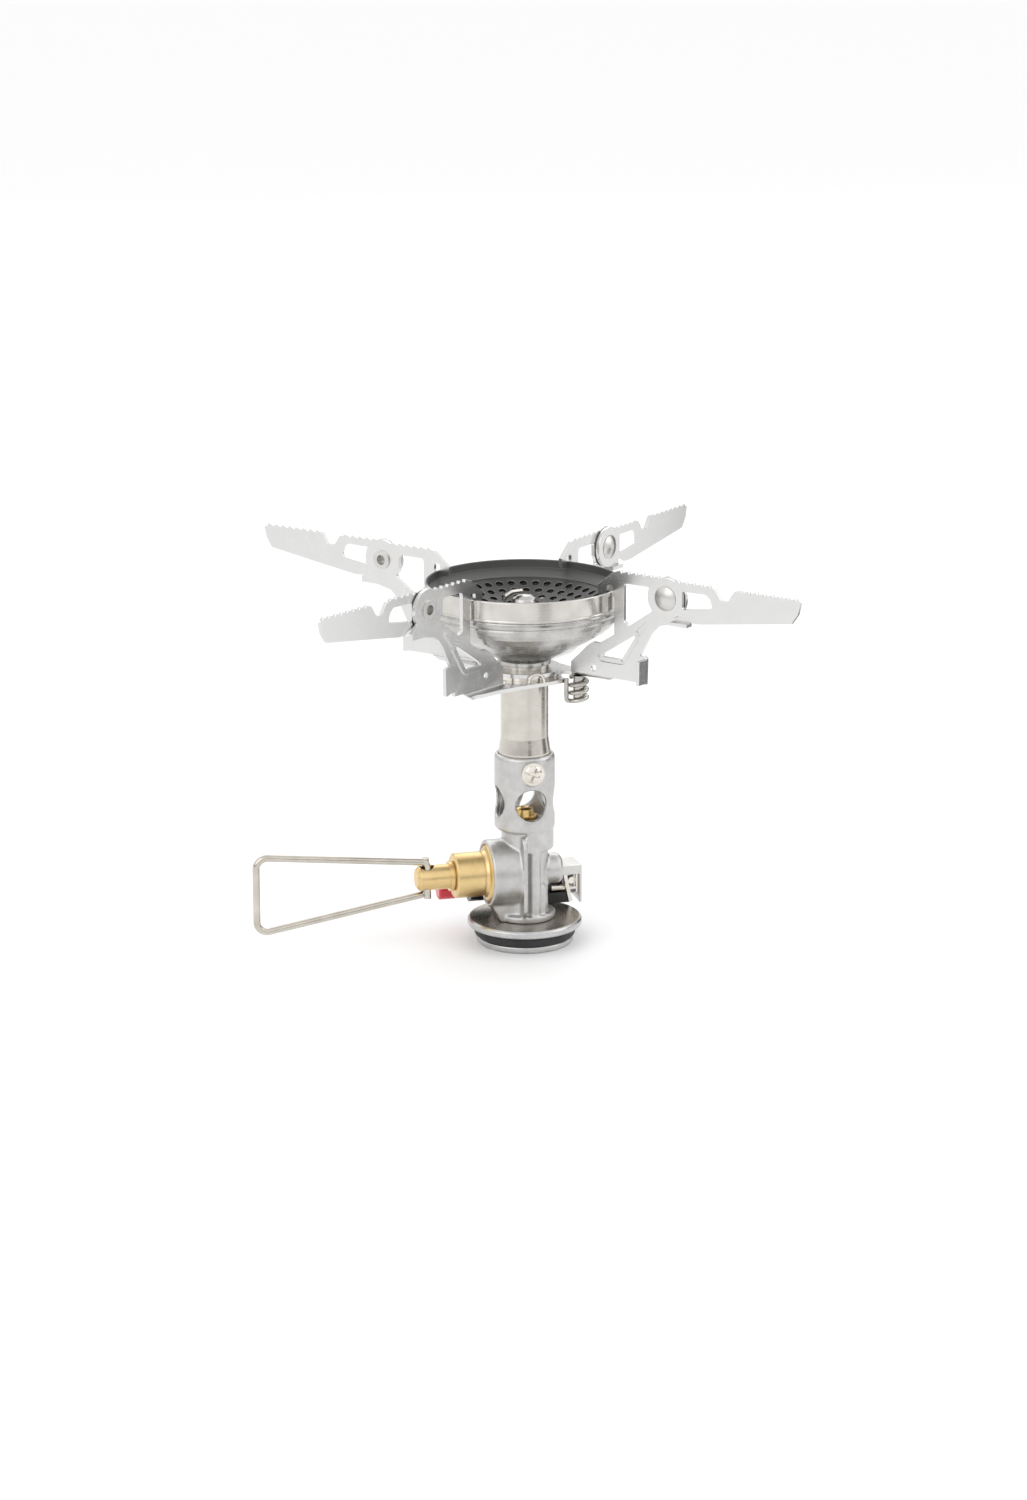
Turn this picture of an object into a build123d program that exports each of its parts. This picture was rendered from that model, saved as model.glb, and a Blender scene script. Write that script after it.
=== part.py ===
# Canister-top camping stove with four folding pot supports.
# Millimetres, +Z up.  The origin is on the stove's axis at the underside of its screw-on base.
# The valve spindle points along -X and the tube screw faces -Y.
import os
from math import cos, pi, sin, sqrt
from build123d import *

os.makedirs("parts", exist_ok=True)

# ---- driving dimensions -------------------------------------------------------------
# base that screws onto the gas canister
LIP_R, LIP_TOP = 11.7, 1.7
FLANGE_R, FLANGE_Z, FLANGE_TOP = 13.8, 4.27, 6.16
NECK_R = 10.2
THREAD_R, THREAD_TOP = 5.1, 4.6          # minor radius of the 7/16-28 thread, and where it ends
SEAL_R = 12.2

# cast body
FOOT_R, FOOT_TOP = 7.4, 7.7
COLUMN_R = 5.6
COLLAR_R, COLLAR_Z, COLLAR_TOP = 7.25, 28.3, 47.1
COLLAR_BORE, MIX_BORE, MIX_FLOOR = 6.3, 5.9, 29.5
AIR_HOLE_R, AIR_HOLE_Z = 3.8, 35.4
TUBE_STOP = 40.2                          # the mixing tube stands on this step
VALVE_Z = 17.5                            # height of the spindle's axis
BOSS_R, BOSS_X = 8.1, -9.6
SIDE_BOSS_R, SIDE_BOSS_X = 3.75, 9.0
CHAMBER_R, CHAMBER_X = 4.3, -1.5

# mixing tube and burner head
TUBE_R, TUBE_WALL, TUBE_FLARE_R = 5.75, 0.5, 6.25
TUBE_TOP = 70.2
SCREW_Z, SCREW_HEAD_R = 43.5, 2.8
RIM_R, RIM_WALL, RIM_Z, RIM_TOP = 23.5, 0.6, 83.9, 88.9
SHEET = 0.6                               # wall of the pressed burner parts
DISH_R, DISH_SPHERE, DISH_BOTTOM = 19.4, 41.0, 80.3
HOLE_R, HOLE_PITCH, HOLE_ROW = 0.9, 2.9, 2.6
CAP_R, CAP_TOP = 3.1, 85.6

# pot supports
PLATE = 0.9                               # sheet thickness of yokes and arms
PIVOT_R, PIVOT_Z, DISC_R = 39.3, 89.6, 4.9
INNER_Y, TIP_Y = 2.1, 0.9                 # right-hand faces of the inner plate and the tip plate
SERRATED_Z, TOOTH, TOOTH_PITCH = 94.3, 0.65, 2.1
RIVET_R = 1.93
YOKE_LOW_Z, YOKE_TOP_Z = 65.4, 67.2
ARM_ANGLE = {"back_left": 131.0, "front_left": 217.1, "front_right": 309.4, "back_right": 41.7}
UPPER_ARMS = ("back_left", "front_right")
LOWER_ARMS = ("front_left", "back_right")

# valve
SPINDLE_R, SPINDLE_END = 3.0, -26.9
GLAND_R, GLAND_END, GLAND_FLANGE_R = 5.4, -17.8, 7.0
BAIL_X, BAIL_WIRE_R, BAIL_END = -24.3, 0.85, -65.7
BAIL_OFFSET = 0.9                         # each end of the wire passes this far from the hinge axis

# piezo igniter, behind the body
PIEZO_Y, PIEZO_Z, PIEZO_R = 10.2, 11.0, 3.4
PIEZO_LEFT, PIEZO_RIGHT = -11.5, 8.5
BUTTON_R, BUTTON_END = 2.4, -19.2
LEAD_R = 0.8

# clip spring under the front right arm, in that arm's own frame
SPRING_POS = (13.55, 3.06)
SPRING_R, SPRING_WIRE_R, SPRING_PITCH, SPRING_TURNS = 1.95, 0.52, 1.9, 2.9
SPRING_BOTTOM = YOKE_TOP_Z - 0.57 - SPRING_PITCH * SPRING_TURNS

RUN = 0.05                                # running clearance of pins, plates and spindle


# ---- small helpers ------------------------------------------------------------------
def upright(radius, z_low, z_high, x=0, y=0):
    return Pos(x, y, (z_low + z_high) / 2) * Cylinder(radius, z_high - z_low)


def lying_x(radius, x_low, x_high, y=0, z=VALVE_Z):
    return Pos((x_low + x_high) / 2, y, z) * Rot(0, 90, 0) * Cylinder(radius, x_high - x_low)


def lying_y(radius, y_low, y_high, x=0, z=0):
    return Pos(x, (y_low + y_high) / 2, z) * Rot(90, 0, 0) * Cylinder(radius, y_high - y_low)


def block(low, high):
    size = [h - l for l, h in zip(low, high)]
    middle = [(h + l) / 2 for l, h in zip(low, high)]
    return Pos(*middle) * Box(*size)


def face_of(points):
    return make_face(Polyline(*points, close=True))


def turned(points):
    """A solid of revolution about Z from (radius, height) points."""
    return revolve(make_face(Polyline(*[(r, 0, z) for r, z in points], close=True)), Axis.Z)


def turned_x(points):
    """A solid of revolution about the spindle's axis from (x, radius) points."""
    profile = make_face(Polyline(*[(x, 0, VALVE_Z + r) for x, r in points], close=True))
    return revolve(profile, Axis((0, 0, VALVE_Z), (1, 0, 0)))


def side_sheet(outline, y_low, y_high):
    """An outline drawn as (outward, height), made a plate between two sideways positions."""
    return extrude(Plane.XZ.offset(-y_high) * outline, amount=y_high - y_low)


def flat_sheet(outline, z_low, z_high):
    return extrude(Pos(0, 0, z_low) * outline, amount=z_high - z_low)


def rounded(points, radius, corners=None):
    """A closed outline with the chosen corners rounded, all of them if none are named."""
    outline = face_of(points)
    chosen = points if corners is None else [points[i] for i in corners]
    picked = [v for v in outline.vertices() if any(abs(v.X - p[0]) + abs(v.Y - p[1]) < 1e-4 for p in chosen)]
    return fillet(picked, radius)


def at_arm(name, shape):
    return Rot(0, 0, ARM_ANGLE[name]) * shape


def save(shape, name):
    shape.label = name
    export_step(shape, f"parts/{name}.step")
    print(name, round(shape.volume, 2))


# ---- base ---------------------------------------------------------------------------
def base_flange():
    body = turned([(NECK_R, LIP_TOP), (LIP_R - 0.3, LIP_TOP), (LIP_R, LIP_TOP - 0.3), (LIP_R, 0.4),
                   (LIP_R - 0.4, 0), (THREAD_R, 0), (THREAD_R, THREAD_TOP), (THREAD_R + 0.6, THREAD_TOP + 0.3),
                   (THREAD_R + 0.6, FLANGE_TOP),
                   (FLANGE_R - 0.5, FLANGE_TOP), (FLANGE_R, FLANGE_TOP - 0.5), (FLANGE_R, FLANGE_Z + 0.35),
                   (FLANGE_R - 0.35, FLANGE_Z), (NECK_R, FLANGE_Z)])
    return body


def base_ring_seal():
    z_low, z_high = LIP_TOP + 0.02, FLANGE_Z - 0.02
    ring = turned([(NECK_R + 0.02, z_low), (SEAL_R, z_low), (SEAL_R, z_high), (NECK_R + 0.02, z_high)])
    outer = [e for e in ring.edges().filter_by(GeomType.CIRCLE) if abs(e.radius - SEAL_R) < 0.01]
    return fillet(outer, 0.9)


def canister_seal():
    return upright(4.9, FLANGE_TOP + 0.04, 7.5) - upright(2.0, FLANGE_TOP, 7.6)


def valve_pin():
    head = upright(1.9, 8.2, 9.0)
    return head + upright(0.9, THREAD_TOP + 0.6, 8.2)


def inlet_filter():
    return upright(2.3, 9.05, 10.6) - upright(0.8, 9.0, 10.0)


# ---- cast body ----------------------------------------------------------------------
def foot_gusset():
    """The foot runs out under the valve boss and rises to meet it."""
    profile = face_of([(-3.0, FLANGE_TOP), (-6.9, FLANGE_TOP), (-9.0, 10.2), (-8.6, 12.0), (-3.0, 12.0)])
    return side_sheet(profile, -4.2, 4.2)


def parting_rib():
    """A thin upright rib where the two halves of the die met."""
    profile = rounded([(-3.0, FOOT_TOP), (-8.35, FOOT_TOP + 0.3), (-8.35, 25.0), (-6.5, 27.5), (-3.0, 27.5)],
                      1.6, corners=(1, 2, 3))
    plate = extrude(Plane.YZ.offset(-2.35) * profile, amount=1.0)
    return plate


def front_ribs():
    """Half-round uprights on the front of the column, above and below the cross web."""
    shape = upright(1.45, 8.0, 27.2, x=0.9, y=-5.5)
    shape += upright(1.1, FOOT_TOP, 15.0, x=2.9, y=-4.6)
    return shape + lying_x(4.6, -1.4, 1.6)


def valve_body():
    body = upright(FOOT_R, FLANGE_TOP, FOOT_TOP) + upright(COLUMN_R, FLANGE_TOP, COLLAR_Z + 1)
    body += upright(6.95, 23.5, COLLAR_Z + 1) & block((-1.2, -8, 20), (8, 8, 30))
    body += turned([(0, COLLAR_Z), (COLLAR_R - 0.6, COLLAR_Z), (COLLAR_R, COLLAR_Z + 0.6),
                    (COLLAR_R, COLLAR_TOP - 0.7), (COLLAR_R - 0.45, COLLAR_TOP), (0, COLLAR_TOP)])
    body += lying_x(BOSS_R, BOSS_X, -1.4)
    side = lying_x(SIDE_BOSS_R, 0, SIDE_BOSS_X)
    tip_edge = [e for e in side.edges().filter_by(GeomType.CIRCLE) if e.center().X > SIDE_BOSS_X - 0.1]
    body += fillet(tip_edge, 1.4)
    body += foot_gusset() + parting_rib() + front_ribs()
    # mixing chamber, step for the tube and four air holes
    body -= upright(MIX_BORE, MIX_FLOOR, TUBE_STOP) + upright(COLLAR_BORE, TUBE_STOP, COLLAR_TOP + 1)
    body -= lying_y(AIR_HOLE_R, -9, 9, z=AIR_HOLE_Z) + lying_x(AIR_HOLE_R, -9, 9, z=AIR_HOLE_Z)
    # gas way: inlet, valve chamber, riser and jet seat
    body -= upright(5.0, FLANGE_TOP - 1, 7.55) + upright(2.35, 7.5, 10.7) + upright(0.9, 10.6, VALVE_Z)
    body -= lying_x(CHAMBER_R, BOSS_X - 1, CHAMBER_X) + lying_x(GLAND_FLANGE_R + 0.05, BOSS_X - 1, -8.3)
    body -= upright(0.8, VALVE_Z, 25.5) + upright(2.4, 25.0, MIX_FLOOR + 1)
    body -= lying_x(0.8, CHAMBER_X - 0.2, 0.4)
    # spot face and hole for the tube screw
    body -= lying_y(SCREW_HEAD_R + 0.15, -9, -7.0, z=SCREW_Z) + lying_y(1.3, -8, -5, z=SCREW_Z)
    return body


def gas_jet():
    hexagon = extrude(Pos(0, 0, MIX_FLOOR) * RegularPolygon(3.3, 6), amount=1.9)
    shank = upright(2.35, 25.6, MIX_FLOOR)
    nose = turned([(0, 31.3), (2.5, 31.3), (2.0, 33.0), (1.0, 33.4), (0, 33.4)])
    return hexagon + shank + nose - upright(0.7, 25, 32.4) - upright(0.25, 32, 34)


# ---- mixing tube and burner head ----------------------------------------------------
def mixing_tube():
    inner = TUBE_R - TUBE_WALL
    flare_inner = TUBE_FLARE_R - TUBE_WALL
    tube = turned([(flare_inner, TUBE_STOP + 0.02), (TUBE_FLARE_R, TUBE_STOP + 0.02), (TUBE_FLARE_R, 47.6),
                   (TUBE_R, 51.2), (TUBE_R, TUBE_TOP), (inner, TUBE_TOP), (inner, 51.2), (flare_inner, 47.6)])
    return tube - lying_y(1.3, -8, -4, z=SCREW_Z)


def tube_screw():
    head = lying_y(SCREW_HEAD_R, -8.0, -7.02, z=SCREW_Z)
    dome_r = 3.4
    dome = Pos(0, -8.75 + dome_r, SCREW_Z) * Sphere(dome_r) & lying_y(SCREW_HEAD_R, -9, -7.5, z=SCREW_Z)
    shank = lying_y(1.25, -7.02, -5.0, z=SCREW_Z)
    cross = block((-1.7, -9, SCREW_Z - 0.36), (1.7, -7.75, SCREW_Z + 0.36))
    cross += block((-0.36, -9, SCREW_Z - 1.7), (0.36, -7.75, SCREW_Z + 1.7))
    turn = Pos(0, 0, SCREW_Z) * Rot(0, 24, 0) * Pos(0, 0, -SCREW_Z)
    return head + dome + shank - turn * cross


def burner_bowl():
    outer = [(TUBE_R + 0.65, 69.2), (TUBE_R + 0.7, 70.2), (7.7, 71.1), (12.0, 73.2), (16.5, 75.7), (19.5, 77.6),
             (21.5, 79.3), (22.3, 80.5), (22.6, 81.5), (22.45, 81.9), (22.85, 82.25), (23.1, 82.8),
             (23.05, 83.4), (22.88, 83.8), (22.88, RIM_TOP - 2.9)]
    inner = [(22.28, RIM_TOP - 2.9), (22.28, 83.4), (22.0, 83.2), (22.0, 81.1), (21.0, 79.6), (19.1, 78.1),
             (16.1, 76.2), (11.7, 73.8), (7.5, 71.7), (TUBE_R + 0.02, 70.8), (TUBE_R + 0.02, 69.2)]
    return turned(outer + inner)


def rim_band():
    inner = RIM_R - RIM_WALL
    return turned([(RIM_R - 0.1, RIM_Z), (RIM_R + 0.12, RIM_Z + 0.15), (RIM_R + 0.12, RIM_Z + 0.4),
                   (RIM_R, RIM_Z + 0.6), (RIM_R, RIM_TOP - 0.2), (RIM_R - 0.2, RIM_TOP), (inner + 0.1, RIM_TOP),
                   (inner, RIM_TOP - 0.1), (inner, 87.0), (DISH_R + 0.1, 85.45), (DISH_R + 0.1, 84.85),
                   (inner - 0.5, 86.35), (inner, 86.35), (inner, RIM_Z)])


def dish_height(radius):
    return DISH_BOTTOM + DISH_SPHERE - sqrt(DISH_SPHERE ** 2 - radius ** 2)


def flame_plate():
    centre = DISH_BOTTOM + DISH_SPHERE
    shell = Pos(0, 0, centre) * (Sphere(DISH_SPHERE + SHEET) - Sphere(DISH_SPHERE))
    dish = shell & upright(DISH_R, DISH_BOTTOM - 2, dish_height(DISH_R))
    holes = [upright(1.75, 78, 84)]
    ring = DISH_R - 1.75
    row = 0
    while ring > 4.5:
        count = int(2 * pi * ring / HOLE_PITCH)
        for i in range(count):
            turn = 2 * pi * (i + 0.5 * (row % 2)) / count
            holes.append(upright(HOLE_R, 78, 88, x=ring * cos(turn), y=ring * sin(turn)))
        ring -= HOLE_ROW
        row += 1
    return dish - holes


def igniter_cap():
    outside = turned([(0, 80.62), (CAP_R, 80.62), (CAP_R, 83.6), (2.7, 84.7), (1.6, 85.4), (0, CAP_TOP)])
    inside = turned([(0, 80), (2.4, 80), (2.4, 83.4), (1.4, 84.6), (0, 84.8)])
    windows = [Rot(0, 0, a) * block((1.5, -0.9, 81.4), (4, 0.9, 83.0)) for a in (70, 190, 310)]
    return outside - inside - windows


def electrode_insulator():
    return upright(1.7, 72.0, 82.4) - upright(0.6, 71.9, 82.5)


def electrode_rod():
    return upright(0.55, 72.05, 83.6)


def spark_finger():
    """A bent strip that rises from the flame plate and reaches over the cap."""
    strip = face_of([(-7.6, 81.5), (-5.4, 81.5), (-5.0, 83.6), (-4.2, 85.0), (-2.7, 85.95), (-0.4, 86.2),
                     (-0.4, 86.7), (-2.9, 86.45), (-4.6, 85.4), (-5.5, 83.8), (-5.8, 82.0), (-7.6, 82.0)])
    return Rot(0, 0, -8) * side_sheet(strip, -1.1, 1.1)


# ---- pot supports -------------------------------------------------------------------
def teeth(x_start, count, z=SERRATED_Z):
    """Saw teeth along the top edge, each rising outwards and ending in a short drop."""
    row = []
    for i in range(count):
        x = x_start + i * TOOTH_PITCH
        row.append(face_of([(x, z - TOOTH - 0.3), (x, z - TOOTH), (x + 1.35, z - 0.12), (x + 1.75, z),
                            (x + TOOTH_PITCH, z - TOOTH + 0.05), (x + TOOTH_PITCH, z - TOOTH - 0.3)]))
    return row


def inner_outline():
    """Side view of the fixed half of an arm, hooked over the rim, up to the hinge disc."""
    edge = SERRATED_Z - TOOTH
    shape = face_of([(23.9, edge), (19.6, 90.2), (19.6, 88.6), (20.2, 87.9), (22.2, 87.9), (22.2, 89.9), (23.9, 89.9),
                     (23.9, 88.1), (24.3, 87.6), (24.3, 78.8), (20.0, 76.1), (18.3, 76.2), (16.9, 75.3),
                     (14.9, 73.3), (12.0, 70.6), (12.0, 68.2), (31.6, 68.2), (31.6, 74.8), (34.5, 80.2),
                     (36.6, 82.5), (40.7, 83.45), (45.3, 83.45), (45.3, 85.0), (43.5, 86.6), (PIVOT_R, edge)])
    shape += Pos(PIVOT_R, PIVOT_Z) * Circle(DISC_R)
    shape += teeth(24.1, 6)
    # arched window beside the hinge disc
    window = rounded([(27.0, 91.4), (34.2, 91.4), (34.3, 88.0), (35.4, 86.2), (28.4, 81.3), (27.0, 82.2)], 0.8)
    shape -= window - Pos(PIVOT_R, PIVOT_Z) * Circle(DISC_R)
    shape -= triangle_window()
    shape -= Pos(PIVOT_R, PIVOT_Z) * Circle(RIVET_R)
    return shape - Pos(23.05, 89.9) * Circle(0.85)


def triangle_window():
    return rounded([(19.9, 72.9), (26.2, 72.9), (30.7, 79.9)], 0.35)


def pressed_border():
    """The pressed edge round the triangular window, with its tail up towards the hinge."""
    ring = offset(triangle_window(), 1.15, kind=Kind.ARC) - triangle_window()
    return ring + face_of([(31.3, 79.2), (34.0, 82.6), (33.1, 83.1), (30.4, 80.4)])


def inner_plate(bent_tab):
    left = INNER_Y + PLATE
    plate = side_sheet(inner_outline(), INNER_Y, left)
    plate -= side_sheet(pressed_border(), INNER_Y - 1, INNER_Y + 0.35)
    plate += side_sheet(pressed_border(), left - 0.1, left + 0.35)
    # stop under the hinge, bent across below the tip plate
    plate += block((40.7, 0.75, 83.45), (45.3, left, 84.3))
    # tab at the lower outer corner, bent across on the upper pair of arms
    tab = rounded([(31.3, 68.2), (33.2, 67.7), (33.4, 74.2), (32.6, 74.8), (31.3, 74.4)], 0.3)
    plate += side_sheet(tab, INNER_Y, left)
    if bent_tab:
        plate += block((32.6, -0.9, 68.3), (33.4, left - 0.4, 74.0))
    return plate - lying_y(0.8, 0, 4, x=18.4, z=69.9)


def side_bend(x_low, x_high, z_low, radius):
    """Quarter-round bend from the upright plate into the flat yoke, to the plate's left."""
    y_mid = INNER_Y + PLATE + radius
    z_mid = z_low + PLATE + radius
    ring = lying_x(radius + PLATE, x_low, x_high, y=y_mid, z=z_mid) - lying_x(radius, x_low, x_high, y=y_mid, z=z_mid)
    return ring & block((x_low, INNER_Y, z_low), (x_high, y_mid, z_mid))


def yoke(arms, z_low, bend_r, bend_reach, wing, bore):
    """Two arms on one flat plate that goes round the mixing tube."""
    z_top = z_low + PLATE
    flat = Circle(8.9)
    shape = None
    for name in arms:
        flat += Rot(0, 0, ARM_ANGLE[name]) * rounded(wing, 1.2, corners=(3, 4, 5))
        bend = side_bend(12.0, bend_reach + 7.0, z_low, bend_r)
        keep = face_of([(12, z_low - 1), (bend_reach, z_low - 1), (bend_reach + 7, 69.5), (12, 69.5)])
        bend = bend & side_sheet(keep, 0, 12)
        wall_foot = block((12.0, INNER_Y, z_low + PLATE + bend_r), (bend_reach + 7, INNER_Y + PLATE, 69.0))
        arm = at_arm(name, inner_plate(arms == UPPER_ARMS) + bend + wall_foot)
        shape = arm if shape is None else shape + arm
    plate = flat_sheet(flat, z_low, z_top) - upright(bore, z_low - 1, z_top + 1)
    return shape + plate


def lower_yoke():
    reach = INNER_Y + PLATE + 0.9
    wing = [(12.0, reach - 0.05), (23.0, reach - 0.05), (21.9, 4.4), (16.0, 5.3), (11.2, 6.6), (2.9, 9.7),
            (-1.8, 10.9), (-4.5, 6.5), (0, 0), (8.0, 1.6), (12.0, 2.8)]
    return yoke(LOWER_ARMS, YOKE_LOW_Z, 0.9, 23.0, wing, TUBE_R)


def upper_yoke():
    reach = INNER_Y + PLATE + 0.5
    wing = [(12.0, reach - 0.05), (20.0, reach - 0.05), (19.0, 5.2), (12.0, 6.0), (7.6, 6.6),
            (4.6, 7.4), (-2.0, 6.0), (0, 0), (8.0, 1.6), (12.0, 2.6)]
    return yoke(UPPER_ARMS, YOKE_TOP_Z, 0.5, 20.0, wing, TUBE_R + 0.08)


def tip_outline():
    edge = SERRATED_Z - TOOTH
    shape = face_of([(PIVOT_R, edge), (52.7, edge), (54.4, 91.2), (56.4, 91.2), (58.0, edge), (74.6, edge),
                     (75.7, 93.3), (75.1, 90.6), (73.5, 88.3), (48.6, 84.75), (46.6, 84.75), (45.4, 85.5),
                     (42.5, 86.0)])
    shape += Pos(PIVOT_R, PIVOT_Z) * Circle(DISC_R)
    shape += teeth(41.0, 5) + teeth(58.0, 8)
    window = rounded([(43.9, 87.6), (43.9, 91.9), (50.4, 92.0), (51.6, 91.0), (52.2, 89.2), (51.3, 88.6)], 0.45)
    return shape - window - Pos(PIVOT_R, PIVOT_Z) * Circle(RIVET_R + RUN)


def tip_plate():
    return side_sheet(tip_outline(), TIP_Y, TIP_Y + PLATE)


def rivet():
    """Domed head on the tip side, hollow flared end on the inner plate's side."""
    head_y = TIP_Y - RUN
    dome_r = 4.9
    dome = Pos(PIVOT_R, head_y - 0.95 + dome_r, PIVOT_Z) * Sphere(dome_r)
    head = dome & lying_y(2.9, head_y - 1.2, head_y, x=PIVOT_R, z=PIVOT_Z)
    shank = lying_y(RIVET_R, head_y, INNER_Y + PLATE + 0.45, x=PIVOT_R, z=PIVOT_Z)
    flare_y = INNER_Y + PLATE
    flare = lying_y(2.25, flare_y, flare_y + 0.45, x=PIVOT_R, z=PIVOT_Z)
    return head + shank + flare - lying_y(1.2, 1.6, 4, x=PIVOT_R, z=PIVOT_Z)


def hinge_washer():
    y_low, y_high = TIP_Y + PLATE + RUN, INNER_Y
    washer = lying_y(4.2, y_low, y_high, x=PIVOT_R, z=PIVOT_Z)
    return washer - lying_y(RIVET_R, y_low - 1, y_high + 1, x=PIVOT_R, z=PIVOT_Z)


def yoke_washer():
    z_low, z_high = YOKE_LOW_Z + PLATE, YOKE_TOP_Z - RUN
    return upright(8.3, z_low, z_high) - upright(TUBE_R, z_low - 1, z_high + 1)


def wire_eye():
    """A small arch of wire on the front of the lower yoke."""
    top = YOKE_LOW_Z + PLATE
    path = FilletPolyline((-1.85, 0, top), (-1.85, 0, top + 2.1), (1.85, 0, top + 2.1), (1.85, 0, top), radius=1.8)
    wire = sweep(Plane(origin=(-1.85, 0, top), z_dir=(0, 0, 1)) * Circle(0.4), path)
    return Rot(0, 0, 2) * Pos(0, -9.6, 0) * wire


def clip_spring():
    length = SPRING_PITCH * SPRING_TURNS
    coil = Helix(SPRING_PITCH, length, SPRING_R)
    wire = sweep(Plane(origin=coil @ 0, z_dir=coil % 0) * Circle(SPRING_WIRE_R), coil, is_frenet=True)
    leg_x = SPRING_R + 1.0
    path = FilletPolyline((SPRING_R, 0, 0), (leg_x, 0, 0), (leg_x, 0, length), radius=0.7)
    leg = sweep(Plane(origin=(SPRING_R, 0, 0), z_dir=(1, 0, 0)) * Circle(SPRING_WIRE_R), path)
    return Pos(SPRING_POS[0], SPRING_POS[1], SPRING_BOTTOM) * Rot(0, 0, 228) * (wire + leg)


def spring_pin():
    x, y = SPRING_POS
    return upright(1.3, SPRING_BOTTOM + 0.4, YOKE_TOP_Z, x=x, y=y)


# ---- valve --------------------------------------------------------------------------
def valve_gland():
    body = turned_x([(-7.2, 3.05), (-7.2, CHAMBER_R), (-8.3, CHAMBER_R), (-8.3, GLAND_FLANGE_R), (-9.1, GLAND_FLANGE_R),
                     (-9.6, 6.5), (-10.0, GLAND_R + 0.35), (-10.6, GLAND_R), (-10.8, GLAND_R), (-10.8, GLAND_R - 0.3),
                     (-11.1, GLAND_R - 0.3), (-11.1, GLAND_R), (GLAND_END + 0.35, GLAND_R), (GLAND_END, GLAND_R - 0.35),
                     (GLAND_END, SPINDLE_R + RUN)])
    return body


def valve_spindle():
    body = turned_x([(SPINDLE_END, 0), (SPINDLE_END, 2.2), (SPINDLE_END + 0.8, SPINDLE_R), (-18.9, SPINDLE_R),
                     (-18.9, 3.55), (-18.0, 3.55), (-18.0, SPINDLE_R), (-15.6, SPINDLE_R), (-15.6, 2.2),
                     (-14.2, 2.2), (-14.2, SPINDLE_R), (-8.0, SPINDLE_R), (-8.0, 1.3), (-5.4, 1.3), (-5.4, 0)])
    # cross hole that both ends of the wire handle turn in, side by side
    return body - upright(BAIL_OFFSET + BAIL_WIRE_R + 0.07, 10, 25, x=BAIL_X)


def spindle_oring():
    ring = turned_x([(-15.5, 2.22), (-14.3, 2.22), (-14.3, 3.0), (-14.6, 3.02), (-15.2, 3.02), (-15.5, 3.0)])
    return ring


def valve_pusher():
    return lying_x(CHAMBER_R - 0.08, -5.2, -4.4) + lying_x(1.2, -4.4, -3.9)


def regulator_spring():
    turns, wire_r = 2.0, 0.3
    coil = Helix(0.85, 0.85 * turns, 3.2)
    wire = sweep(Plane(origin=coil @ 0, z_dir=coil % 0) * Circle(wire_r), coil, is_frenet=True)
    return Pos(-3.98, 0, VALVE_Z) * Rot(0, 90, 0) * wire


def diaphragm():
    return lying_x(CHAMBER_R - 0.03, -1.95, CHAMBER_X - 0.02)


def wire_bail():
    start = (BAIL_X, -BAIL_OFFSET, 12.7)
    path = FilletPolyline(start, (BAIL_X, -BAIL_OFFSET, 21.7), (BAIL_END, -0.1, 25.8), (BAIL_END, 0.1, 6.8),
                          (BAIL_X, BAIL_OFFSET, 13.3), (BAIL_X, BAIL_OFFSET, 22.2), radius=[1.5, 2.6, 2.6, 1.5])
    return sweep(Plane(origin=start, z_dir=(0, 0, 1)) * Circle(BAIL_WIRE_R), path)


# ---- igniter ------------------------------------------------------------------------
def piezo_body():
    body = lying_x(PIEZO_R, PIEZO_LEFT, PIEZO_RIGHT, y=PIEZO_Y, z=PIEZO_Z)
    body += upright(1.5, PIEZO_Z + 2, PIEZO_Z + 4.2, x=3.0, y=PIEZO_Y)
    # holder for the contacts, inside the bracket
    body += block((7.5, 6.6, 6.4), (13.1, 11.6, 9.0)) + block((8.0, 8.6, 8.0), (11.8, 11.6, 15.0))
    return body - lying_x(BUTTON_R + RUN, PIEZO_LEFT - 1, 1.0, y=PIEZO_Y, z=PIEZO_Z)


def piezo_button():
    button = lying_x(BUTTON_R, BUTTON_END, -3.5, y=PIEZO_Y, z=PIEZO_Z)
    end = [e for e in button.edges().filter_by(GeomType.CIRCLE) if e.center().X < BUTTON_END + 0.1]
    return fillet(end, 0.6)


def piezo_spring():
    coil = Helix(1.0, 3.4, 1.8)
    wire = sweep(Plane(origin=coil @ 0, z_dir=coil % 0) * Circle(0.25), coil, is_frenet=True)
    return Pos(-3.1, PIEZO_Y, PIEZO_Z) * Rot(0, 90, 0) * wire


def igniter_bracket():
    sheet = 0.6
    right, front, back, top = 15.7, 5.0, 12.4, 16.0
    shape = block((8.0, front, top - sheet), (right, back, top))
    shape += block((10.6, front, top - 2.2), (right, front + sheet, top))
    side = block((right - sheet, front, 6.7), (right, back, top))
    side -= block((right - 1, 6.6, 8.6), (right + 1, 10.8, 13.6))
    shape += side
    shape += block((8.6, back - sheet, 7.0), (right, back, top))
    return shape


def contact_strip():
    leg = face_of([(11.1, 14.6), (12.0, 14.6), (13.6, 6.9), (12.7, 6.7)])
    frame = side_sheet(leg, 5.8, 6.5) + block((11.1, 5.8, 14.1), (14.9, 6.5, 14.9))
    return frame + block((14.4, 5.8, 9.0), (14.9, 6.5, 14.5)) + block((12.9, 5.8, 9.9), (14.9, 6.5, 10.5))


def contact_rod():
    link = block((11.9, 7.5, 9.3), (13.9, 8.2, 12.2))
    return lying_x(0.9, 8.6, 12.6, y=7.6, z=10.0) + lying_y(0.85, 6.7, 8.4, x=13.6, z=11.8) + link


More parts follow.
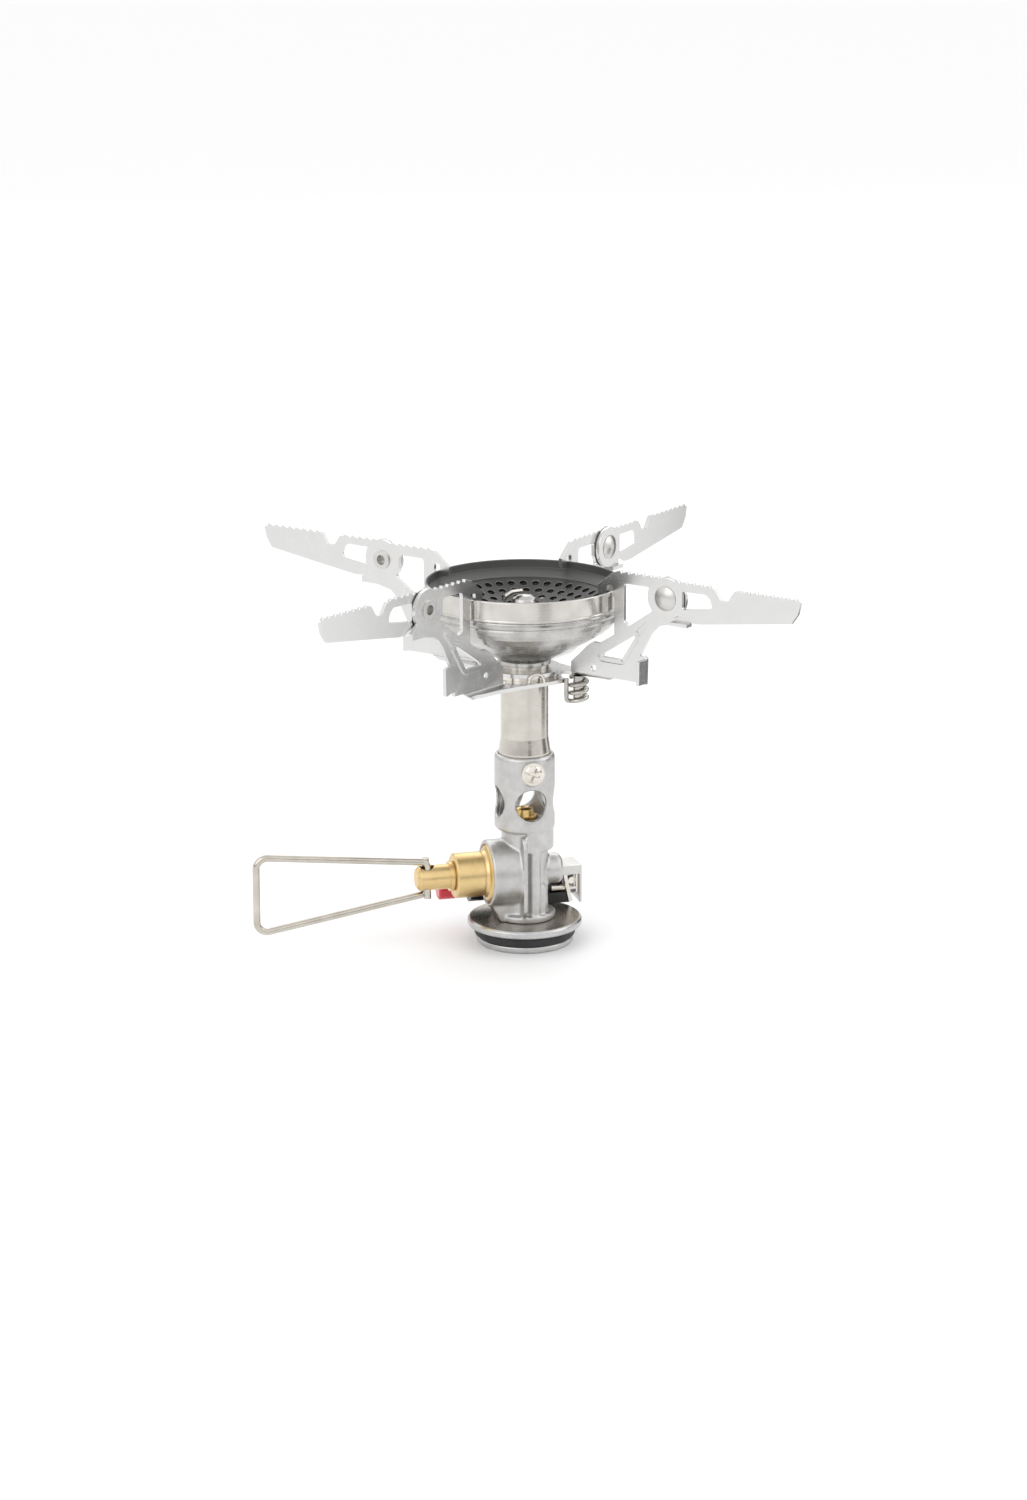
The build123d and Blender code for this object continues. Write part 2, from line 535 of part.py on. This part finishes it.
def igniter_lead():
    start = (3.0, PIEZO_Y, PIEZO_Z + 4.2)
    route = [start, (3.0, PIEZO_Y, 23.0), (0.4, 10.0, 30.5), (0.6, 4.1, 37.0), (0.6, 3.9, 47.0), (0.6, 3.9, 60.0),
             (0, 0, 67.5), (0, 0, 72.0)]
    path = FilletPolyline(*route, radius=[7.0, 5.0, 5.5, 9.0, 9.0, 6.0])
    return sweep(Plane(origin=start, z_dir=(0, 0, 1)) * Circle(LEAD_R), path)


# ---- write every piece --------------------------------------------------------------
def main():
    save(base_flange(), "base_flange")
    save(base_ring_seal(), "base_ring_seal")
    save(canister_seal(), "canister_seal")
    save(valve_pin(), "valve_pin")
    save(inlet_filter(), "inlet_filter")
    save(valve_body(), "valve_body")
    save(gas_jet(), "gas_jet")
    save(mixing_tube(), "mixing_tube")
    save(tube_screw(), "tube_screw")
    save(burner_bowl(), "burner_bowl")
    save(rim_band(), "rim_band")
    save(flame_plate(), "flame_plate")
    save(igniter_cap(), "igniter_cap")
    save(electrode_insulator(), "electrode_insulator")
    save(electrode_rod(), "electrode_rod")
    save(spark_finger(), "spark_finger")
    save(lower_yoke(), "lower_yoke")
    save(upper_yoke(), "upper_yoke")
    save(yoke_washer(), "yoke_washer")
    save(wire_eye(), "wire_eye")
    save(at_arm("front_right", clip_spring()), "clip_spring")
    save(at_arm("front_right", spring_pin()), "spring_pin")
    for name in ARM_ANGLE:
        save(at_arm(name, tip_plate()), f"arm_tip_{name}")
        save(at_arm(name, rivet()), f"rivet_{name}")
        save(at_arm(name, hinge_washer()), f"washer_{name}")
    save(valve_gland(), "valve_gland")
    save(valve_spindle(), "valve_spindle")
    save(spindle_oring(), "spindle_oring")
    save(valve_pusher(), "valve_pusher")
    save(regulator_spring(), "regulator_spring")
    save(diaphragm(), "diaphragm")
    save(wire_bail(), "wire_bail")
    save(piezo_body(), "piezo_body")
    save(piezo_button(), "piezo_button")
    save(piezo_spring(), "piezo_spring")
    save(igniter_bracket(), "igniter_bracket")
    save(contact_strip(), "contact_strip")
    save(contact_rod(), "contact_rod")
    save(igniter_lead(), "igniter_lead")


main()
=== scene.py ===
from math import cos, radians, sin
import bpy
from mathutils import Matrix, Vector


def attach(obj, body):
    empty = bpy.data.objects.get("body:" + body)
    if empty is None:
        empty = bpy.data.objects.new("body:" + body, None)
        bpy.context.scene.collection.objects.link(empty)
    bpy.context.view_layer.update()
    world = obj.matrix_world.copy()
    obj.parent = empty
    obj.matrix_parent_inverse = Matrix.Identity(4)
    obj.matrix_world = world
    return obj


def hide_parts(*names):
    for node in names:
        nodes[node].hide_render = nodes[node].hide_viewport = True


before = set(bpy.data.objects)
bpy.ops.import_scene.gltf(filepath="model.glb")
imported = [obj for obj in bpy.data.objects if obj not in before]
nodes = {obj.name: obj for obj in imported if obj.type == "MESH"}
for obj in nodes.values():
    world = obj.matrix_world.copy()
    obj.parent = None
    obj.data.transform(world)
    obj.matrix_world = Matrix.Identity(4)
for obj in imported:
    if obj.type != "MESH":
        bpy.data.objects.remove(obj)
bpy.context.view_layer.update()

mm = 0.001

# camera

viewpoint = {
    "turn": -15.0,          # degrees round the stove, 0 looks along +Y
    "rise": 15.334,
    "distance": 0.960108,
    "aimHeight": 0.047448,
    "yaw": -0.157,
    "roll": -0.08,
    "lens": 96.57,
}


def placeCamera():
    turn, rise = radians(viewpoint["turn"]), radians(viewpoint["rise"])
    back = Vector((sin(turn) * cos(rise), -cos(turn) * cos(rise), sin(rise)))
    place = back * viewpoint["distance"] + Vector((0, 0, viewpoint["aimHeight"]))
    ahead = -back
    right = ahead.cross(Vector((0, 0, 1))).normalized()
    up = right.cross(ahead)
    yaw, roll = radians(viewpoint["yaw"]), radians(viewpoint["roll"])
    ahead, right = ahead * cos(yaw) + right * sin(yaw), right * cos(yaw) - ahead * sin(yaw)
    right, up = right * cos(roll) + up * sin(roll), up * cos(roll) - right * sin(roll)
    lens = bpy.data.cameras.new("stoveCamera")
    lens.lens = viewpoint["lens"]
    lens.sensor_width = 36.0
    lens.clip_start = 0.01
    lens.clip_end = 50.0
    camera = bpy.data.objects.new("stoveCamera", lens)
    bpy.context.scene.collection.objects.link(camera)
    camera.matrix_world = Matrix((
        (right.x, up.x, -ahead.x, place.x),
        (right.y, up.y, -ahead.y, place.y),
        (right.z, up.z, -ahead.z, place.z),
        (0, 0, 0, 1),
    ))
    bpy.context.scene.camera = camera


placeCamera()
print("camera placed")

# building blocks for the finishes


def startMaterial(name):
    material = bpy.data.materials.new(name)
    material.use_nodes = True
    tree = material.node_tree
    shader = tree.nodes["Principled BSDF"]
    place = tree.nodes.new("ShaderNodeTexCoord").outputs["Object"]
    return material, tree, shader, place


def maths(tree, operation, first, second=0.0):
    node = tree.nodes.new("ShaderNodeMath")
    node.operation = operation
    for socket, value in zip(node.inputs, (first, second)):
        if isinstance(value, (int, float)):
            socket.default_value = value
        else:
            tree.links.new(value, socket)
    return node.outputs[0]


def noise(tree, place, scale, detail=3.0, roughness=0.55):
    # scale is in grains per metre along X, Y and Z
    mapping = tree.nodes.new("ShaderNodeMapping")
    mapping.inputs["Scale"].default_value = scale
    tree.links.new(place, mapping.inputs["Vector"])
    texture = tree.nodes.new("ShaderNodeTexNoise")
    texture.inputs["Scale"].default_value = 1.0
    texture.inputs["Detail"].default_value = detail
    texture.inputs["Roughness"].default_value = roughness
    tree.links.new(mapping.outputs["Vector"], texture.inputs["Vector"])
    return texture.outputs["Fac"]


def spread(tree, value, low, high, fromLow=0.3, fromHigh=0.7):
    node = tree.nodes.new("ShaderNodeMapRange")
    node.inputs["From Min"].default_value = fromLow
    node.inputs["From Max"].default_value = fromHigh
    node.inputs["To Min"].default_value = low
    node.inputs["To Max"].default_value = high
    tree.links.new(value, node.inputs["Value"])
    return node.outputs["Result"]


def blendColours(tree, factor, first, second):
    node = tree.nodes.new("ShaderNodeMix")
    node.data_type = "RGBA"
    tree.links.new(factor, node.inputs[0])
    for socket, value in ((node.inputs[6], first), (node.inputs[7], second)):
        if isinstance(value, tuple):
            socket.default_value = (*value, 1.0)
        else:
            tree.links.new(value, socket)
    return node.outputs[2]


def latheCoordinates(tree, place, axis, centre=(0, 0, 0)):
    # distance from the turning axis, and place along it, so marks run round the part
    shift = tree.nodes.new("ShaderNodeMapping")
    shift.inputs["Location"].default_value = tuple(-c for c in centre)
    tree.links.new(place, shift.inputs["Vector"])
    split = tree.nodes.new("ShaderNodeSeparateXYZ")
    tree.links.new(shift.outputs["Vector"], split.inputs["Vector"])
    across = [split.outputs[i] for i in range(3) if i != axis]
    squares = [maths(tree, "MULTIPLY", a, a) for a in across]
    radius = maths(tree, "SQRT", maths(tree, "ADD", *squares))
    join = tree.nodes.new("ShaderNodeCombineXYZ")
    tree.links.new(radius, join.inputs["X"])
    tree.links.new(split.outputs[axis], join.inputs["Z"])
    return join.outputs["Vector"]


def softEdges(tree, radius):
    # rounded normals along the sharp edges, and a mask that is 1 on them
    rounded = tree.nodes.new("ShaderNodeBevel")
    rounded.samples = 6
    rounded.inputs["Radius"].default_value = radius
    geometry = tree.nodes.new("ShaderNodeNewGeometry")
    dot = tree.nodes.new("ShaderNodeVectorMath")
    dot.operation = "DOT_PRODUCT"
    tree.links.new(rounded.outputs["Normal"], dot.inputs[0])
    tree.links.new(geometry.outputs["Normal"], dot.inputs[1])
    return rounded.outputs["Normal"], spread(tree, dot.outputs["Value"], 1.0, 0.0, 0.86, 0.99)


def bump(tree, height, strength, distance, normal=None):
    node = tree.nodes.new("ShaderNodeBump")
    node.inputs["Strength"].default_value = strength
    node.inputs["Distance"].default_value = distance
    tree.links.new(height, node.inputs["Height"])
    if normal is not None:
        tree.links.new(normal, node.inputs["Normal"])
    return node.outputs["Normal"]


def metalFinish(name, finish):
    # one metal: mottled colour, edges lightened as wear and as painted highlight, grain or lathe marks
    material, tree, shader, place = startMaterial(name)
    shader.inputs["Metallic"].default_value = finish.get("metallic", 1.0)
    if "lathe" in finish:
        marks = latheCoordinates(tree, place, *finish["lathe"])
    else:
        marks = place
    grain = noise(tree, marks, finish["grain"], finish.get("detail", 3.0))
    mottle = noise(tree, place, finish.get("mottle", (260, 260, 260)), 4.0)
    normal, edge = softEdges(tree, finish.get("edge", 0.12 * mm))
    colour = blendColours(tree, spread(tree, mottle, 0.0, 1.0), finish["dark"], finish["light"])
    # wear and painted highlight: sharp edges are blended towards a light colour
    edgeWearAndHighlight = maths(tree, "MULTIPLY", edge, finish.get("edgeWearAndHighlight", 0.5))
    colour = blendColours(tree, edgeWearAndHighlight, colour, finish["bright"])
    low, high = finish["roughness"]
    wear = maths(tree, "ADD", maths(tree, "MULTIPLY", grain, 0.6), maths(tree, "MULTIPLY", mottle, 0.4))
    polish = spread(tree, wear, low, high, 0.35, 0.65)
    if "scorched" in finish:
        # heat-darkened and dull within this distance of the stove's axis
        reach, darkened = finish["scorched"]
        split = tree.nodes.new("ShaderNodeSeparateXYZ")
        tree.links.new(latheCoordinates(tree, place, 2), split.inputs["Vector"])
        within = maths(tree, "LESS_THAN", split.outputs["X"], reach)
        colour = blendColours(tree, within, colour, darkened)
        polish = maths(tree, "MAXIMUM", polish, maths(tree, "MULTIPLY", within, 0.62))
    if "paintedTopShade" in finish:
        # painted shade: faces that look up are darkened in colour, the turned edge is not
        geometry = tree.nodes.new("ShaderNodeNewGeometry")
        facing = tree.nodes.new("ShaderNodeSeparateXYZ")
        tree.links.new(geometry.outputs["Normal"], facing.inputs["Vector"])
        paintedTopShade = spread(tree, facing.outputs["Z"], 0.0, 1.0, 0.8, 0.97)
        colour = blendColours(tree, paintedTopShade, colour, finish["paintedTopShade"])
    tree.links.new(colour, shader.inputs["Base Color"])
    tree.links.new(polish, shader.inputs["Roughness"])
    normal = bump(tree, grain, finish["relief"], finish.get("depth", 0.02 * mm), normal)
    tree.links.new(normal, shader.inputs["Normal"])
    return material


def plainFinish(name, finish):
    # plastics, rubber and ceramic
    material, tree, shader, place = startMaterial(name)
    grain = noise(tree, place, finish["grain"], 4.0)
    mottle = noise(tree, place, (300, 300, 300), 3.0)
    normal, edge = softEdges(tree, finish.get("edge", 0.15 * mm))
    colour = blendColours(tree, spread(tree, mottle, 0.0, 1.0), finish["dark"], finish["light"])
    tree.links.new(colour, shader.inputs["Base Color"])
    tree.links.new(spread(tree, grain, *finish["roughness"]), shader.inputs["Roughness"])
    shader.inputs["Coat Weight"].default_value = finish.get("coat", 0.0)
    shader.inputs["Coat Roughness"].default_value = 0.15
    tree.links.new(bump(tree, grain, finish["relief"], 0.02 * mm, normal), shader.inputs["Normal"])
    return material


valveAxis = (0.0, 0.0, 0.0175)
metals = {
    "turnedAluminium": {"dark": (0.50, 0.50, 0.50), "light": (0.62, 0.62, 0.61), "bright": (0.9, 0.9, 0.9),
                        "lathe": (2,), "grain": (3200, 1, 3200), "roughness": (0.22, 0.38), "relief": 0.25,
                        "paintedTopShade": (0.40, 0.37, 0.33)},
    "castAluminium": {"dark": (0.50, 0.495, 0.485), "light": (0.61, 0.605, 0.595),
                      "bright": (0.80, 0.80, 0.80),
                      "grain": (2600, 2600, 2600), "detail": 5.0, "roughness": (0.28, 0.44), "relief": 0.5,
                      "depth": 0.05 * mm, "edge": 0.45 * mm, "edgeWearAndHighlight": 0.55, "mottle": (420, 420, 420)},
    "turnedBrass": {"dark": (0.71, 0.52, 0.24), "light": (0.81, 0.61, 0.31), "bright": (0.98, 0.84, 0.56),
                    "lathe": (0, valveAxis), "grain": (5200, 1, 5200), "roughness": (0.27, 0.37),
                    "relief": 0.12,
                    "edge": 0.12 * mm},
    "mixerBrass": {"dark": (0.70, 0.48, 0.18), "light": (0.80, 0.57, 0.25), "bright": (0.95, 0.78, 0.46),
                   "lathe": (2,), "grain": (5200, 1, 5200), "roughness": (0.22, 0.36), "relief": 0.3},
    "pressedSteel": {"dark": (0.67, 0.667, 0.66), "light": (0.70, 0.697, 0.69), "bright": (0.97, 0.97, 0.96),
                     "grain": (2400, 2400, 7000), "detail": 2.0, "roughness": (0.22, 0.28), "relief": 0.05,
                     "depth": 0.01 * mm, "edge": 0.1 * mm, "edgeWearAndHighlight": 0.7, "mottle": (240, 240, 240)},
    "tubeSteel": {"dark": (0.55, 0.52, 0.475), "light": (0.65, 0.62, 0.57), "bright": (0.92, 0.9, 0.87),
                  "lathe": (2,), "grain": (400, 1, 5200), "roughness": (0.16, 0.30), "relief": 0.2},
    "rimSteel": {"dark": (0.54, 0.515, 0.485), "light": (0.66, 0.64, 0.605), "bright": (0.94, 0.93, 0.9),
                 "lathe": (2,), "grain": (900, 1, 4200), "roughness": (0.10, 0.22), "relief": 0.18,
                 "edge": 0.25 * mm, "scorched": (23.3 * mm, (0.17, 0.17, 0.166))},
    "bowlSteel": {"dark": (0.44, 0.43, 0.42), "light": (0.60, 0.59, 0.57), "bright": (0.9, 0.88, 0.85),
                  "lathe": (2,), "grain": (2600, 1, 2600), "roughness": (0.18, 0.34), "relief": 0.3,
                  "edge": 0.3 * mm},
    "darkSteel": {"dark": (0.065, 0.065, 0.063), "light": (0.09, 0.09, 0.087), "bright": (0.5, 0.49, 0.48),
                  "grain": (2400, 2400, 2400), "roughness": (0.30, 0.46), "relief": 0.2, "edge": 0.18 * mm,
                  "edgeWearAndHighlight": 0.9},
    "rivetSteel": {"dark": (0.58, 0.57, 0.55), "light": (0.68, 0.67, 0.65), "bright": (0.92, 0.91, 0.89),
                   "grain": (2200, 2200, 2200), "roughness": (0.28, 0.38), "relief": 0.12, "edge": 0.12 * mm},
    "nickelPlate": {"dark": (0.66, 0.62, 0.56), "light": (0.80, 0.76, 0.70), "bright": (0.97, 0.95, 0.92),
                    "grain": (1500, 1500, 1500), "roughness": (0.08, 0.20), "relief": 0.08, "edge": 0.1 * mm},
    "handleWire": {"dark": (0.52, 0.48, 0.42), "light": (0.64, 0.60, 0.54), "bright": (0.94, 0.92, 0.88),
                   "grain": (1500, 1500, 1500), "roughness": (0.12, 0.2), "relief": 0.06, "edge": 0.1 * mm},
    "springSteel": {"dark": (0.42, 0.40, 0.37), "light": (0.58, 0.56, 0.52), "bright": (0.9, 0.88, 0.85),
                    "grain": (1800, 1800, 1800), "roughness": (0.15, 0.30), "relief": 0.12,
                    "edge": 0.08 * mm},
}
plains = {
    "blackRubber": {"dark": (0.012, 0.012, 0.014), "light": (0.022, 0.022, 0.025),
                    "grain": (3000, 3000, 3000),
                    "roughness": (0.42, 0.6), "relief": 0.25},
    "blackPlastic": {"dark": (0.012, 0.012, 0.013), "light": (0.02, 0.02, 0.022), "grain": (2500, 2500, 2500),
                     "roughness": (0.28, 0.42), "relief": 0.15, "coat": 0.2},
    "redPlastic": {"dark": (0.55, 0.012, 0.03), "light": (0.68, 0.02, 0.045), "grain": (1800, 1800, 1800),
                   "roughness": (0.22, 0.34), "relief": 0.1, "coat": 0.5},
    "glazedCeramic": {"dark": (0.74, 0.71, 0.66), "light": (0.86, 0.84, 0.79), "grain": (1600, 1600, 1600),
                      "roughness": (0.12, 0.24), "relief": 0.1, "coat": 0.6},
    "leadSleeve": {"dark": (0.62, 0.61, 0.58), "light": (0.78, 0.77, 0.74), "grain": (2600, 2600, 2600),
                   "roughness": (0.4, 0.55), "relief": 0.3},
}
finishes = {name: metalFinish(name, finish) for name, finish in metals.items()}
finishes.update({name: plainFinish(name, finish) for name, finish in plains.items()})
print("materials made:", len(finishes))

finishOfNode = {
    "turnedAluminium": ["base_flange"],
    "turnedBrass": ["valve_gland", "valve_spindle"],
    "mixerBrass": ["gas_jet", "valve_pin", "valve_pusher"],
    "pressedSteel": ["lower_yoke", "upper_yoke"],
    "tubeSteel": ["mixing_tube"],
    "rimSteel": ["rim_band"],
    "bowlSteel": ["burner_bowl", "igniter_cap"],
    "darkSteel": ["flame_plate"],
    "castAluminium": ["valve_body"],
    "rivetSteel": ["igniter_bracket"],
    "handleWire": ["wire_bail"],
    "nickelPlate": ["tube_screw", "contact_rod", "contact_strip", "wire_eye",
                    "yoke_washer", "spark_finger", "electrode_rod"],
    "springSteel": ["clip_spring", "spring_pin", "regulator_spring", "piezo_spring", "inlet_filter"],
    "blackRubber": ["base_ring_seal", "canister_seal", "spindle_oring", "diaphragm"],
    "blackPlastic": ["piezo_body"],
    "redPlastic": ["piezo_button"],
    "glazedCeramic": ["electrode_insulator"],
    "leadSleeve": ["igniter_lead"],
}
for arm in ("back_left", "front_left", "front_right", "back_right"):
    finishOfNode["pressedSteel"].append("arm_tip_" + arm)
    finishOfNode["rivetSteel"] += ["rivet_" + arm, "washer_" + arm]

for finishName, members in finishOfNode.items():
    for member in members:
        mesh = nodes[member].data
        mesh.materials.clear()
        mesh.materials.append(finishes[finishName])
print("finishes given to", sum(len(m) for m in finishOfNode.values()), "nodes")

# cast body

casting = {
    "mergeWithin": 1e-6,
    "grid": 0.26 * mm,      # the rounded skin is rebuilt on a grid this fine
    "softness": 0.6,
    "passes": 6,
}


def castBody():
    # the body keeps its CAD form, with the soft corners of a die casting
    bpy.ops.object.select_all(action="DESELECT")
    piece = bpy.data.objects.new("castBody", nodes["valve_body"].data.copy())
    bpy.context.scene.collection.objects.link(piece)
    piece.select_set(True)
    bpy.context.view_layer.objects.active = piece
    bpy.ops.object.mode_set(mode="EDIT")
    bpy.ops.mesh.select_all(action="SELECT")
    bpy.ops.mesh.remove_doubles(threshold=casting["mergeWithin"])
    bpy.ops.object.mode_set(mode="OBJECT")
    skin = piece.modifiers.new("skin", "REMESH")
    skin.mode = "VOXEL"
    skin.voxel_size = casting["grid"]
    smooth = piece.modifiers.new("soften", "SMOOTH")
    smooth.factor = casting["softness"]
    smooth.iterations = casting["passes"]
    bpy.ops.object.modifier_apply(modifier="skin")
    bpy.ops.object.modifier_apply(modifier="soften")
    bpy.ops.object.shade_smooth()
    piece.data.materials.clear()
    piece.data.materials.append(finishes["castAluminium"])
    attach(piece, "root")
    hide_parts("valve_body")
    print("cast body softened:", len(piece.data.polygons), "faces")


castBody()

# sheet and turned parts, whose sharp edges are broken with a small round

softParts = {
    # CAD node: new name, body, slot, finish, width of the round
    "lower_yoke": ("lowerArms", "root", "satin_steel", "pressedSteel", 0.10 * mm),
    "upper_yoke": ("upperArms", "upper_support", "satin_steel", "pressedSteel", 0.10 * mm),
    "arm_tip_back_left": ("tipBackLeft", "tip_back_left", "satin_steel", "pressedSteel", 0.10 * mm),
    "arm_tip_front_left": ("tipFrontLeft", "tip_front_left", "satin_steel", "pressedSteel", 0.10 * mm),
    "arm_tip_front_right": ("tipFrontRight", "tip_front_right", "satin_steel", "pressedSteel", 0.10 * mm),
    "arm_tip_back_right": ("tipBackRight", "tip_back_right", "satin_steel", "pressedSteel", 0.10 * mm),
    "base_flange": ("turnedBase", "root", "turned_aluminium", "turnedAluminium", 0.14 * mm),
    "igniter_bracket": ("igniterFrame", "root", "satin_steel", "rivetSteel", 0.10 * mm),
    "piezo_button": ("redButton", "button", "red_plastic", "redPlastic", 0.22 * mm),
}


edgeBreak = {
    "mergeWithin": 2e-6,
    "flatWithin": radians(0.5),
    "sharpAbove": radians(38),
    "smoothBelow": radians(50),
    "segments": 2,
    "faceWeight": 90,
}


def breakEdges(node, name, body, slot, finish, width):
    bpy.ops.object.select_all(action="DESELECT")
    piece = bpy.data.objects.new(name, nodes[node].data.copy())
    bpy.context.scene.collection.objects.link(piece)
    piece.select_set(True)
    bpy.context.view_layer.objects.active = piece
    bpy.ops.object.mode_set(mode="EDIT")
    bpy.ops.mesh.select_all(action="SELECT")
    bpy.ops.mesh.remove_doubles(threshold=edgeBreak["mergeWithin"])
    bpy.ops.mesh.dissolve_limited(angle_limit=edgeBreak["flatWithin"])
    bpy.ops.object.mode_set(mode="OBJECT")
    bevel = piece.modifiers.new("brokenEdge", "BEVEL")
    bevel.width = width
    bevel.segments = edgeBreak["segments"]
    bevel.limit_method = "ANGLE"
    bevel.angle_limit = edgeBreak["sharpAbove"]
    bevel.use_clamp_overlap = True
    bpy.ops.object.modifier_apply(modifier="brokenEdge")
    bpy.ops.object.shade_smooth_by_angle(angle=edgeBreak["smoothBelow"])
    flatFaces = piece.modifiers.new("flatFaces", "WEIGHTED_NORMAL")
    flatFaces.keep_sharp = True
    flatFaces.weight = edgeBreak["faceWeight"]
    bpy.ops.object.modifier_apply(modifier="flatFaces")
    piece.data.materials.clear()
    piece.data.materials.append(finishes[finish])
    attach(piece, body)
    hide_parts(node)
    return len(piece.data.polygons)


for node, part in softParts.items():
    print(part[0], "edges broken:", breakEdges(node, *part), "faces")

# floor and light

studio = {
    "floorSize": 40.0,
    "floorColour": (0.92, 0.92, 0.92, 1.0),
    "skyStrength": 1.12,
    "skyShades": ((0.0, 0.42), (0.10, 0.50), (0.28, 1.05), (0.7, 1.0), (1.0, 0.85)),    # height, brightness
    "cards": (      # name, place, size, turn, shade
        ("rightCard", (0.15, 0.10, 0.06), (0.06, 0.20), -50, 0.02),
        ("frontCard", (0.06, -0.42, 0.03), (0.10, 0.10), 8, 0.02),
        ("elbowCard", (0.11, -0.010, 0.05), (0.05, 0.05), 90, 0.16),
    ),
    "panels": (     # name, place, target, size, power
        ("leftSoftbox", (-0.75, -0.55, 0.65), (0, 0, 0.05), (0.9, 0.9), 1.9),
        ("rightSoftbox", (0.8, -0.2, 0.5), (0, 0, 0.05), (0.7, 0.8), 1.2),
        ("backSoftbox", (0.1, 0.9, 0.7), (0, 0, 0.06), (1.2, 0.6), 1.8),
    ),
}


def layFloor():
    bpy.ops.object.select_all(action="DESELECT")
    bpy.ops.mesh.primitive_plane_add(size=studio["floorSize"], location=(0, 0, 0))
    floor = bpy.context.object
    floor.name = "paleFloor"
    material, tree, shader, place = startMaterial("palePaper")
    shader.inputs["Base Color"].default_value = studio["floorColour"]
    shader.inputs["Roughness"].default_value = 0.6
    shader.inputs["Specular IOR Level"].default_value = 0.25
    floor.data.materials.append(material)


def addPanel(name, place, target, size, power):
    light = bpy.data.lights.new(name, "AREA")
    light.shape = "RECTANGLE"
    light.size, light.size_y = size
    light.energy = power
    panel = bpy.data.objects.new(name, light)
    bpy.context.scene.collection.objects.link(panel)
    panel.location = place
    panel.rotation_euler = (Vector(target) - Vector(place)).to_track_quat("-Z", "Y").to_euler()


def lightSky():
    world = bpy.data.worlds.new("studioSky")
    bpy.context.scene.world = world
    world.use_nodes = True
    tree = world.node_tree
    sky = tree.nodes["Background"]
    place = tree.nodes.new("ShaderNodeTexCoord").outputs["Generated"]
    split = tree.nodes.new("ShaderNodeSeparateXYZ")
    tree.links.new(place, split.inputs["Vector"])
    ramp = tree.nodes.new("ShaderNodeValToRGB")
    stops = studio["skyShades"]
    for position, shade in stops[2:]:
        ramp.color_ramp.elements.new(position)
    for element, (position, shade) in zip(ramp.color_ramp.elements, stops):
        element.position = position
        element.color = (shade, shade, shade, 1.0)
    tree.links.new(split.outputs["Z"], ramp.inputs["Fac"])
    tree.links.new(ramp.outputs["Color"], sky.inputs["Color"])
    sky.inputs["Strength"].default_value = studio["skyStrength"]


def standCard(name, place, size, turn, shade):
    # a dark card that only shows as a reflection in the metal
    bpy.ops.object.select_all(action="DESELECT")
    bpy.ops.mesh.primitive_plane_add(size=1.0, location=place, rotation=(radians(90), 0, radians(turn)))
    card = bpy.context.object
    card.name = name
    card.scale = (size[0], size[1], 1.0)
    material, _, shader, _ = startMaterial(name)
    shader.inputs["Base Color"].default_value = (shade, shade, shade, 1.0)
    shader.inputs["Roughness"].default_value = 0.8
    card.data.materials.append(material)
    card.visible_camera = False
    card.visible_diffuse = False
    card.visible_shadow = False
    card.visible_transmission = False


layFloor()
lightSky()
for card in studio["cards"]:
    standCard(*card)
for panel in studio["panels"]:
    addPanel(*panel)
bpy.context.scene.view_settings.view_transform = "Standard"
print("floor and light set")
